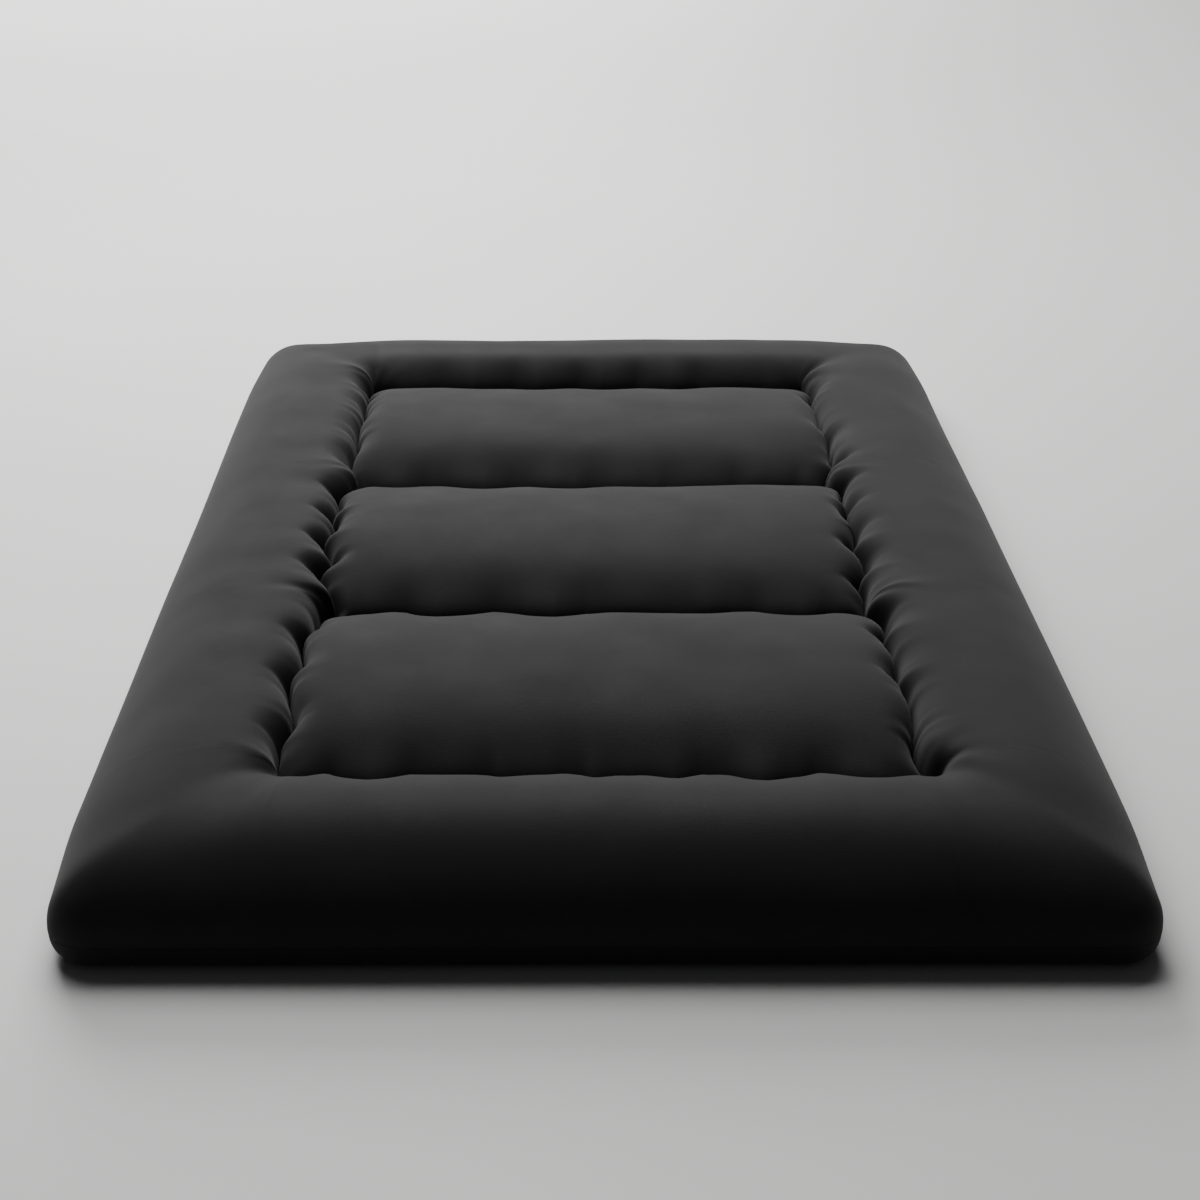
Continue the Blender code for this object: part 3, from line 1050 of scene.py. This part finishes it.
class NodeTree:
    """A new material whose nodes are added and joined in short lines."""

    def __init__(self, name: str) -> None:
        """Start a material with a Principled shader."""
        self.material = bpy.data.materials.new(name)
        self.material.use_nodes = True
        self.nodes = self.material.node_tree.nodes
        self.links = self.material.node_tree.links
        self.shader = self.nodes["Principled BSDF"]

    def add(self, kind: str, inputs: dict | None = None, **settings: object) -> bpy.types.Node:
        """Add a node.

        Args:
            kind: Node type without its ShaderNode prefix.
            inputs: Values or output sockets by input name or number.
            settings: Attributes of the node.

        Returns:
            The node.
        """
        node = self.nodes.new("ShaderNode" + kind)
        for key, value in settings.items():
            setattr(node, key, value)
        for key, value in (inputs or {}).items():
            self.set(node, key, value)
        return node

    def set(self, node: bpy.types.Node, key: str | int, value: object) -> None:
        """Give an input a value, or join it to an output socket.

        Args:
            node: The node.
            key: Name or number of the input.
            value: The value or the socket.
        """
        if isinstance(value, bpy.types.NodeSocket):
            self.links.new(value, node.inputs[key])
        else:
            node.inputs[key].default_value = value

    def noise(self, place: bpy.types.NodeSocket, scale: float, detail: float) -> bpy.types.NodeSocket:
        """Noise with so many cells to the metre."""
        inputs = {"Vector": place, "Scale": scale, "Detail": detail, "Roughness": 0.55}
        return self.add("TexNoise", inputs).outputs["Fac"]

    def math(self, operation: str, a: object, b: object = 0.0) -> bpy.types.NodeSocket:
        """A calculation with two numbers or sockets."""
        return self.add("Math", {0: a, 1: b}, operation=operation).outputs[0]

    def mix(self, share: object, low: object, high: object) -> bpy.types.NodeSocket:
        """A colour between two, by a share."""
        return self.add("Mix", {"Factor": share, 6: low, 7: high}, data_type="RGBA").outputs[2]

    def blend_of(self, a: object, b: object, share: float) -> bpy.types.NodeSocket:
        """Weighted sum of two values, where the share is that of the first."""
        return self.math("ADD", self.math("MULTIPLY", a, share), self.math("MULTIPLY", b, 1.0 - share))

    def stretched(self, place: bpy.types.NodeSocket, scale: tuple) -> bpy.types.NodeSocket:
        """A place scaled along each axis."""
        return self.add("Mapping", {"Vector": place, "Scale": scale}).outputs["Vector"]

    def spread(self, value: object, to: tuple, out_of: tuple = (0.0, 1.0)) -> bpy.types.NodeSocket:
        """A value carried from one range to another, and held inside it."""
        ends = {"From Min": out_of[0], "From Max": out_of[1], "To Min": to[0], "To Max": to[1]}
        return self.add("MapRange", {"Value": value} | ends).outputs["Result"]

    def place(self, unrolled: bool = False) -> bpy.types.NodeSocket:
        """Place on the unrolled cloth, or else in the object."""
        node = self.add("UVMap", uv_map="cloth") if unrolled else self.add("TexCoord")
        return node.outputs["UV" if unrolled else "Object"]

    def finished(self, **inputs: object) -> bpy.types.Material:
        """Set the shader's inputs.

        Args:
            inputs: Values or sockets by input name, with underscores for spaces.

        Returns:
            The material.
        """
        for key, value in inputs.items():
            self.set(self.shader, key.replace("_", " "), value)
        return self.material

    def bump(self, height: object, distance: float, strength: float, **under: object) -> bpy.types.NodeSocket:
        """Bump from a height, over another bump where one is given as Normal."""
        inputs = {"Height": height, "Distance": distance, "Strength": strength}
        return self.add("Bump", inputs | under).outputs["Normal"]


def grey(value: float, warmth: float = 0.0) -> tuple[float, float, float, float]:
    """A grey with its alpha, a little warm or cool."""
    return value * (1 + warmth), value, value * (1 - warmth), 1.0


@dataclass(frozen=True)
class BrushedCloth:
    """Black brushed microfibre: a short nap, faint hand-brushed patches, a few specks of lint."""

    dark: float = 0.0115
    light: float = 0.0195
    sheen: float = 0.09
    sheen_roughness: float = 0.45
    nap_scale: float = 900.0
    patch_scale: float = 9.0
    fibre_scale: tuple[float, float, float] = (60.0, 420.0, 1.0)
    lint: float = 0.25
    lint_scale: float = 6.0
    lint_radius: float = 0.0034
    lint_chance: float = 0.38

    def build(self) -> bpy.types.Material:
        """Make the material."""
        tree = NodeTree("brushed_black_cloth")
        place = tree.place(unrolled=True)
        nap = tree.noise(place, self.nap_scale, 3.0)
        patches = tree.noise(place, self.patch_scale, 4.0)
        fibres = tree.noise(tree.stretched(place, self.fibre_scale), 1.0, 3.0)
        tone = tree.spread(tree.blend_of(nap, patches, 0.45), (0.0, 1.0), (0.36, 0.64))
        cells = tree.add("TexVoronoi", {"Vector": place, "Scale": self.lint_scale})
        near = tree.math("LESS_THAN", cells.outputs["Distance"], self.lint_radius)
        chosen = tree.add("SeparateColor", {"Color": cells.outputs["Color"]}).outputs["Red"]
        lint = tree.math("MULTIPLY", near, tree.math("GREATER_THAN", chosen, 1.0 - self.lint_chance))
        cloth = tree.mix(tone, grey(self.dark), grey(self.light))
        ribs = tree.bump(fibres, 0.0006, 0.25, Normal=tree.bump(patches, 0.004, 0.20))
        return tree.finished(
            Base_Color=tree.mix(lint, cloth, grey(self.lint)),
            Roughness=tree.spread(patches, (0.86, 0.96), (0.3, 0.7)),
            Normal=tree.bump(nap, 0.0005, 0.35, Normal=ribs),
            Specular_IOR_Level=0.25,
            Sheen_Weight=self.sheen,
            Sheen_Roughness=self.sheen_roughness,
            Sheen_Tint=grey(0.9),
        )


@dataclass(frozen=True)
class PlainWeave:
    """Black plain-woven backing cloth: crossed threads, matt, with faint slubs."""

    dark: float = 0.003
    light: float = 0.007
    threads: float = 1100.0
    slub_scale: tuple[float, float, float] = (700.0, 16.0, 1.0)
    patch_scale: float = 12.0

    def build(self) -> bpy.types.Material:
        """Make the material."""
        tree = NodeTree("black_backing_cloth")
        place = tree.place(unrolled=True)
        parts = tree.add("SeparateXYZ", {"Vector": place})
        turn = self.threads * np.pi
        warp, weft = (tree.math("SINE", tree.math("MULTIPLY", parts.outputs[axis], turn)) for axis in "XY")
        slubs = tree.noise(tree.stretched(place, self.slub_scale), 1.0, 2.0)
        patches = tree.noise(place, self.patch_scale, 3.0)
        weave = tree.math("MULTIPLY", warp, weft)
        return tree.finished(
            Base_Color=tree.mix(tree.blend_of(slubs, patches, 0.6), grey(self.dark), grey(self.light)),
            Normal=tree.bump(weave, 0.0003, 0.4, Normal=tree.bump(slubs, 0.0003, 0.3)),
            Roughness=tree.spread(slubs, (0.82, 0.95)),
            Specular_IOR_Level=0.3,
            Sheen_Weight=0.08,
            Sheen_Roughness=0.5,
        )


@dataclass(frozen=True)
class Foam:
    """Pale yellow open-cell foam."""

    cells: float = 900.0
    ageing_scale: float = 9.0

    def build(self) -> bpy.types.Material:
        """Make the material."""
        tree = NodeTree("cream_foam")
        place = tree.place()
        pores = tree.add("TexVoronoi", {"Vector": place, "Scale": self.cells}).outputs["Distance"]
        ageing = tree.noise(place, self.ageing_scale, 3.0)
        return tree.finished(
            Base_Color=tree.mix(ageing, (0.88, 0.82, 0.63, 1), (0.80, 0.72, 0.50, 1)),
            Normal=tree.bump(pores, 0.0006, 0.6),
            Roughness=tree.spread(pores, (0.85, 1.0)),
        )


@dataclass(frozen=True)
class Fibre:
    """White polyester fibre, bonded into a sheet or loose in tufts."""

    name: str
    tuft_scale: float
    strand_scale: float

    def build(self) -> bpy.types.Material:
        """Make the material."""
        tree = NodeTree(self.name)
        place = tree.place()
        strands = tree.noise(tree.stretched(place, (0.25, 1.0, 1.0)), self.strand_scale, 4.0)
        tufts = tree.noise(place, self.tuft_scale, 3.0)
        return tree.finished(
            Base_Color=tree.mix(strands, grey(0.92), grey(0.80, 0.01)),
            Normal=tree.bump(strands, 0.001, 0.5, Normal=tree.bump(tufts, 0.006, 0.5)),
            Roughness=tree.spread(tufts, (0.9, 1.0)),
            Sheen_Weight=0.4,
        )


@dataclass(frozen=True)
class TwistedThread:
    """Black sewing thread with a slight gloss and a twist."""

    twist: float = 1500.0
    tone_scale: float = 300.0

    def build(self) -> bpy.types.Material:
        """Make the material."""
        tree = NodeTree("black_thread")
        place = tree.place()
        x, y, z = tree.add("SeparateXYZ", {"Vector": place}).outputs
        lean = tree.math("ADD", x, tree.math("ADD", y, z))
        plies = tree.math("SINE", tree.math("MULTIPLY", lean, self.twist * np.pi))
        tone = tree.noise(place, self.tone_scale, 2.0)
        return tree.finished(
            Base_Color=tree.mix(tone, grey(0.016), grey(0.032)),
            Normal=tree.bump(plies, 0.0002, 0.6),
            Roughness=tree.spread(tone, (0.45, 0.65)),
        )


@dataclass(frozen=True)
class PaleFloor:
    """Plain pale floor with the faintest mottling."""

    value: float = 0.92
    cloud_scale: float = 0.8

    def build(self) -> bpy.types.Material:
        """Make the material."""
        tree = NodeTree("pale_floor")
        cloud = tree.noise(tree.place(), self.cloud_scale, 2.0)
        return tree.finished(
            Base_Color=tree.mix(cloud, grey(self.value, 0.012), grey(self.value * 0.96, 0.014)),
            Roughness=tree.spread(cloud, (0.55, 0.65)),
        )


@dataclass
class Cover:
    """A cloth of the bag, cut at the middle line into two halves."""

    sizes: Sizes
    face: UpperFace | LowerFace
    stations: Stations
    finish: BrushedCloth | PlainWeave
    points: np.ndarray = field(init=False)

    side: ClassVar[str]
    upward: ClassVar[int]
    thinning: ClassVar[int]
    held: ClassVar[str]

    def shape(self) -> np.ndarray:
        """The whole outer surface."""
        return self.face.surface(self.stations.along(), self.stations.across())

    def build(self) -> None:
        """Make both halves and dress them. The inner side may have fewer points than the outer side."""
        self.points = self.shape()
        places, normals = flat_places(self.points), grid_normals(self.points)
        normals[len(self.points) // 2, :, 1] = 0.0
        normals /= np.linalg.norm(normals, axis=-1, keepdims=True)
        material = self.finish.build()
        for end in End:
            rows = half_rows(end, len(self.points))
            thin = slice(None, None, self.thinning)
            outer, flat = self.points[rows], places[rows]
            inner = (outer - normals[rows] * (self.upward * CLOTH))[thin, thin]
            points, blocks = closed_shell(*((outer, inner) if self.upward > 0 else (inner, outer)))
            unrolled = np.concatenate([flat.reshape(-1, 2), flat[thin, thin].reshape(-1, 2)])
            piece = make_piece(f"{end.label}_half_{self.side}_cover", points, blocks, unrolled)
            piece.data.materials.append(material)
            bend(piece, end)
            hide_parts(f"{end.label}_{self.side}_cover", f"middle_{self.side}_cover")


@dataclass
class BackingCover(Cover):
    """The bottom cover, laid on the floor."""

    side: ClassVar[str] = "bottom"
    upward: ClassVar[int] = -1
    thinning: ClassVar[int] = 1
    held: ClassVar[str] = "laid"


@dataclass
class QuiltedCover(Cover):
    """The top cover: one quilted cloth, stretched over the filling."""

    simulation: ClothSimulation = ClothSimulation()
    side_hold: float = 0.060

    side: ClassVar[str] = "top"
    upward: ClassVar[int] = 1
    thinning: ClassVar[int] = 2
    held: ClassVar[str] = "stretched"

    def shape(self) -> np.ndarray:
        """The whole outer surface: the analytic face, moved by a cloth simulation on a coarser grid.

        Returns:
            Grid of points. The movement fades as a bell curve towards the edge seam.
        """
        rows, columns = self.stations.along(), self.stations.across()
        points = self.face.surface(rows, columns)
        cell = self.simulation.cell
        trial = Stations(self.sizes, coarse=cell, fine=cell)
        stations = trial.along(), trial.across()
        x, y = self.face.outline.plan(*stations)
        edge = self.face.outline.depth(x, y)
        held = np.minimum(self.face.seam_distance(x, y), edge) < 1e-5
        move = self.simulation.moved(self.face.surface(*stations), held)
        loose = 1.0 - bell(edge, self.side_hold)
        return points + carried(move * loose[..., None], stations, (rows, columns))


@dataclass
class Fillings:
    """Everything inside the bag: foam core, wadding above and below it, and the loose fibre of the border."""

    sizes: Sizes
    cover: QuiltedCover
    outline: Outline
    gap: float = 0.0030
    seam_gap: float = 0.0035
    core_gap: float = 0.0006
    least: float = 0.002
    draw: float = 0.006
    draw_fade: float = 0.02
    core_inset: float = 0.016
    batt_inset: float = 0.026
    batt_low: float = 0.0090
    batt_gap: float = 0.0005
    rounding: float = 0.004
    rounding_reach: float = 0.012
    plate_cells: tuple[int, int] = (64, 44)

    def __post_init__(self) -> None:
        """Find the stations and the layer under the cloth."""
        self.rows, self.columns = self.cover.stations.along(), self.cover.stations.across()
        normals = grid_normals(self.cover.points)
        self.under = self.cover.points - normals * (CLOTH + self.gap)

    def block(self, rows: slice, columns: slice) -> tuple[np.ndarray, list[np.ndarray]]:
        """Closed block between the layer under the cloth and the core's upper face.

        Args:
            rows: Stations along that the block covers.
            columns: Stations across that the block covers.

        Returns:
            Points and faces.
        """
        s = self.sizes
        upper = self.under[rows, columns][::2, ::2].copy()
        x, y = self.outline.plan(self.rows[rows][::2], self.columns[columns][::2])
        edge, across, along = self.outline.inside(x, y)
        floor = s.core_high + self.core_gap
        lower = np.stack([upper[..., 0], upper[..., 1], np.full(x.shape, floor)], axis=-1)
        fade = np.exp(-edge / self.draw_fade)
        lower[..., 0] -= across * self.draw * fade
        lower[..., 1] -= along * self.draw * fade
        upper[..., 2] = np.maximum(upper[..., 2], floor + self.least)
        for grid in (upper, lower):
            for k, sign in ((0, 1), (-1, -1)):
                line, seams = abs(self.columns[columns][k]), np.array((s.seam_x,))
                if np.abs(seams - line).min() < TINY:
                    grid[:, k, 0] += sign * self.seam_gap
                line, seams = abs(self.rows[rows][k]), np.array((s.end_seam_y, s.fold_y))
                if np.abs(seams - line).min() < TINY:
                    grid[k, :, 1] += sign * self.seam_gap
        return closed_shell(upper, lower)

    def plate(self, end: End, low: float, high: float, inset: float) -> tuple[np.ndarray, list[np.ndarray]]:
        """Flat layer of one half, with rounded edges.

        The plan is the cover's own, scaled down to stand in from its outline. The two faces pull in and
        round off towards the rim as a quarter ellipse.

        Args:
            end: Half of the mattress.
            low: Height of the lower face.
            high: Height of the upper face.
            inset: Distance from the outline.

        Returns:
            Points and faces.
        """
        s = self.sizes
        along, across = self.plate_cells
        rows = mirrored(np.linspace(0.0, s.half_length, along + 1))[half_rows(end, 2 * along + 1)]
        columns = mirrored(np.linspace(0.0, s.half_width, across + 1))
        x, y = self.outline.plan(rows, columns)
        inner = 1.0 - clamped(self.outline.depth(x, y) / self.rounding_reach)
        bulge = self.rounding * (1.0 - np.sqrt(1.0 - inner**2))
        x, y = x * (1 - inset / s.half_width), y * (1 - inset / s.half_length)
        flat = self.outline.settle(np.stack([x, y, 0 * x], axis=-1))
        upper, lower = flat.copy(), flat.copy()
        upper[..., 2] = high - bulge
        lower[..., 2] = low + bulge
        return closed_shell(upper, lower)

    def add(
        self, name: str, shape: tuple, material: bpy.types.Material, slot: str, fill: float, *nodes: str
    ) -> bpy.types.Object:
        """Args:
            name: Name of the piece.
            shape: Points and faces.
            material: Its finish.
            slot: Not used.
            fill: Not used.
            nodes: Nodes that it replaces.

        Returns:
            The piece.
        """
        piece = make_piece(name, *shape)
        piece.data.materials.append(material)
        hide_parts(*nodes)
        LOG.info("%s: %d points", name, len(piece.data.vertices))
        return piece

    def build(self) -> None:
        """Make every filling piece, most of them in two halves, and attach each end's border bolster to that
        end.
        """
        s = self.sizes
        foam = Foam().build()
        wadding = Fibre("white_wadding", 40.0, 700.0).build()
        fibre = Fibre("white_loose_fibre", 28.0, 450.0).build()
        left, right = nearest(self.columns, -s.seam_x), nearest(self.columns, s.seam_x)
        panel = slice(left, right + 1)
        sides = {"left": slice(0, left + 1), "right": slice(right, len(self.columns))}
        for end in End:
            label, sign = end.label, end.value
            rows = half_rows(end, len(self.rows))
            core = self.plate(end, s.core_low, s.core_high, self.core_inset)
            batt = self.plate(end, self.batt_low, s.core_low - self.batt_gap, self.batt_inset)
            nodes = f"{label}_bottom_wadding", "middle_bottom_wadding"
            halves = [
                self.add(f"{label}_half_core", core, foam, "foam", 0.9, f"{label}_core", "middle_core"),
                self.add(f"{label}_half_bottom_wadding", batt, wadding, "wadding", 0.7, *nodes),
            ]
            for side, columns in sides.items():
                nodes = f"{label}_{side}_bolster", f"middle_{side}_bolster"
                block = self.block(rows, columns)
                halves.append(self.add(f"{label}_half_{side}_bolster", block, fibre, "fibre", 0.8, *nodes))
            bands = (
                (f"{label}_panel_wadding", s.fold_y, s.end_seam_y, f"{label}_top_wadding"),
                (f"middle_panel_wadding_{label}_half", 0.0, s.fold_y, "middle_top_wadding"),
            )
            for name, start, stop, node in bands:
                low, high = sorted(nearest(self.rows, sign * place) for place in (start, stop))
                block = self.block(slice(low, high + 1), panel)
                halves.append(self.add(name, block, wadding, "wadding", 0.8, node))
            for piece in halves:
                bend(piece, end)
            seam = nearest(self.rows, sign * s.end_seam_y)
            block = self.block(slice(seam, len(self.rows)) if sign > 0 else slice(0, seam + 1), panel)
            bolster = self.add(f"{label}_border_bolster", block, fibre, "fibre", 0.8, f"{label}_end_bolster")
            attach(bolster, end.body)


@dataclass
class Stitching:
    """Runs of quilting stitches at the bottom of the seams, above and below."""

    sizes: Sizes
    upper: np.ndarray
    lower: np.ndarray
    rows: dict[str, np.ndarray]
    columns: dict[str, np.ndarray]
    pitch: float = 0.0080
    length: float = 0.0062
    radius: float = 0.00055
    lift: float = 0.0002
    bow: float = 0.0007
    rings: int = 7
    sides: int = 6

    def run(self, path: np.ndarray, up: float) -> tuple[np.ndarray, list[np.ndarray]]:
        """Stitches along a path, each a small bar that bows up and dips into the cloth at both ends.

        A stitch's centre line rises by the sine of its share. Its radius is the thread's, times the fourth
        root of one minus the sixth power of the distance from its middle.

        Args:
            path: Points along the seam.
            up: 1 for the upper side and -1 for the underside.

        Returns:
            Points and faces.
        """
        walked = np.concatenate([[0.0], np.cumsum(np.linalg.norm(np.diff(path, axis=0), axis=1))])
        count = int(walked[-1] / self.pitch)
        rings, sides = self.rings, self.sides
        share = np.linspace(0.0, 1.0, rings)
        start = (np.arange(count) + 0.5) * walked[-1] / count - self.length / 2
        at = start[:, None] + share[None, :] * self.length
        centre = np.stack([np.interp(at, walked, path[:, k]) for k in range(3)], axis=-1)
        centre[..., 2] += up * (self.lift + self.bow * np.sin(np.pi * share))[None, :]
        tangent = centre[:, -1] - centre[:, 0]
        tangent /= np.linalg.norm(tangent, axis=-1, keepdims=True)
        side = np.cross(tangent, (0.0, 0.0, 1.0))
        turn = 2 * np.pi * np.arange(sides) / sides
        size = self.radius * np.maximum(1 - np.abs(2 * share - 1) ** 6, 0.02) ** 0.25
        ring = np.cos(turn)[:, None] * side[:, None, None, :]
        ring = ring + np.sin(turn)[:, None] * np.array((0.0, 0.0, 1.0))
        points = centre[:, :, None, :] + ring * size[None, :, None, None]
        index = np.arange(rings * sides).reshape(rings, sides)
        here, nxt = index[:-1], index[1:]
        tube = np.stack([here, nxt, np.roll(nxt, -1, 1), np.roll(here, -1, 1)], axis=-1).reshape(-1, 4)
        caps = np.stack([index[0], index[-1, ::-1]])
        offset = (np.arange(count) * rings * sides)[:, None, None]
        blocks = [(tube + offset).reshape(-1, 4), (caps + offset).reshape(-1, sides)]
        return points.reshape(-1, 3), blocks

    def seam(
        self, name: str, where: list, nodes: tuple, end: End, hold: Hold, thread: bpy.types.Material
    ) -> None:
        """Stitch one seam through, above and below.

        Args:
            name: Name of the piece.
            where: Rows and columns of the seam, on the upper and on the lower grid.
            nodes: Nodes that the stitches replace.
            end: End that the seam belongs to.
            hold: How the stitches follow the sections.
            thread: Their finish.
        """
        top_points, top_blocks = self.run(self.upper[where[0]], 1.0)
        low_points, low_blocks = self.run(self.lower[where[1]], -1.0)
        low_points[:, 2] = np.maximum(low_points[:, 2], 0.0)
        points = np.concatenate([top_points, low_points])
        piece = make_piece(name, points, top_blocks + [block + len(top_points) for block in low_blocks])
        piece.data.materials.append(thread)
        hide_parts(*nodes)
        if hold is Hold.BENDS:
            bend(piece, end)
        else:
            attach(piece, end.body)
        LOG.info("%s: %d points", name, len(points))

    def build(self) -> None:
        """Stitch every seam."""
        s = self.sizes
        thread = TwistedThread().build()
        grids = [(self.rows[name], self.columns[name]) for name in ("upper", "lower")]
        for end in End:
            sign, label = end.value, end.label
            for side, place in (("left", -s.seam_x), ("right", s.seam_x)):
                where = []
                for rows, columns in grids:
                    low, high = sorted(nearest(rows, sign * y) for y in (0.0, s.end_seam_y))
                    where.append((slice(low, high + 1), nearest(columns, place)))
                nodes = f"{label}_{side}_seam_thread", f"middle_{side}_seam_thread"
                self.seam(f"{label}_half_{side}_stitches", where, nodes, end, Hold.BENDS, thread)
            for kind, place, hold in (("end", s.end_seam_y, Hold.RIDES), ("cross", s.fold_y, Hold.BENDS)):
                where = []
                for rows, columns in grids:
                    low, high = nearest(columns, -s.seam_x), nearest(columns, s.seam_x)
                    where.append((nearest(rows, sign * place), slice(low, high + 1)))
                nodes = (f"{label}_{kind}_seam_thread",)
                self.seam(f"{label}_{kind}_stitches", where, nodes, end, hold, thread)


@dataclass(frozen=True)
class SoftLight:
    """A soft rectangular light that points at a target."""

    name: str
    place: tuple[float, float, float]
    target: tuple[float, float, float]
    size: tuple[float, float]
    power: float

    def build(self) -> None:
        """Put the light into the scene."""
        light = bpy.data.lights.new(self.name, "AREA")
        light.shape = "RECTANGLE"
        light.size, light.size_y = self.size
        light.energy = self.power
        lamp = bpy.data.objects.new(self.name, light)
        bpy.context.scene.collection.objects.link(lamp)
        lamp.location = self.place
        aim = Vector(self.target) - Vector(self.place)
        lamp.rotation_euler = aim.to_track_quat("-Z", "Y").to_euler()
        lamp.visible_camera = False


@dataclass(frozen=True)
class Studio:
    """Plain pale floor, soft light from behind and above, and the camera."""

    lens: float = 61.2
    tilt: float = 64.43
    place: tuple[float, float, float] = (-0.0521, -2.9929, 1.4355)
    shift: float = 0.0318
    sensor: float = 36.0
    clip_end: float = 60.0
    world_colour: tuple[float, float, float, float] = (0.95, 0.97, 1.0, 1.0)
    world_strength: float = 0.03
    floor_radius: float = 14.0
    floor_corners: int = 96
    floor_drop: float = 0.0006
    lights: tuple[SoftLight, ...] = (
        SoftLight("window_light", (-1.9, 8.0, 3.9), (0.0, 0.0, 0.1), (6.2, 4.0), 900.0),
        SoftLight("overhead_light", (-0.5, 1.9, 3.8), (0.0, 0.3, 0.0), (4.0, 2.6), 170.0),
    )

    def build(self) -> None:
        """Make the floor, the lights and the camera."""
        scene = bpy.context.scene
        count, radius = self.floor_corners, self.floor_radius
        turn = np.linspace(0.0, 2 * np.pi, count + 1)[:-1]
        depth = np.full(count, -self.floor_drop)
        points = np.stack([radius * np.cos(turn), radius * np.sin(turn), depth], axis=-1)
        floor = make_piece("floor", points, [np.arange(count)[None, :]])
        floor.data.materials.append(PaleFloor().build())
        world = bpy.data.worlds.new("studio_world")
        scene.world = world
        world.use_nodes = True
        background = world.node_tree.nodes["Background"]
        background.inputs["Color"].default_value = self.world_colour
        background.inputs["Strength"].default_value = self.world_strength
        for light in self.lights:
            light.build()
        lens = bpy.data.cameras.new("camera")
        lens.sensor_width = self.sensor
        lens.lens = self.lens
        lens.shift_x = self.shift
        lens.clip_end = self.clip_end
        camera = bpy.data.objects.new("camera", lens)
        scene.collection.objects.link(camera)
        camera.location = self.place
        camera.rotation_euler = (np.radians(self.tilt), 0.0, 0.0)
        scene.camera = camera


def main() -> None:
    """Build the mattress, its finishes and its setting."""
    logging.basicConfig(level=logging.INFO, format="%(message)s")
    sizes = Sizes.from_frame()
    LOG.info("sizes %s", sizes)
    Studio().build()
    outline = Outline(sizes)
    upper = UpperFace(sizes, outline, Quilting())
    top_stations = Stations(sizes)
    cover = QuiltedCover(sizes, upper, top_stations, BrushedCloth())
    cover.build()
    low_stations = Stations(sizes, coarse=0.0120, fine=0.0036)
    backing = BackingCover(sizes, LowerFace(sizes, outline, upper), low_stations, PlainWeave())
    backing.build()
    Fillings(sizes, cover, outline).build()
    rows = {"upper": top_stations.along(), "lower": low_stations.along()}
    columns = {"upper": top_stations.across(), "lower": low_stations.across()}
    Stitching(sizes, cover.points, backing.points, rows, columns).build()


if __name__ == "__main__":
    main()
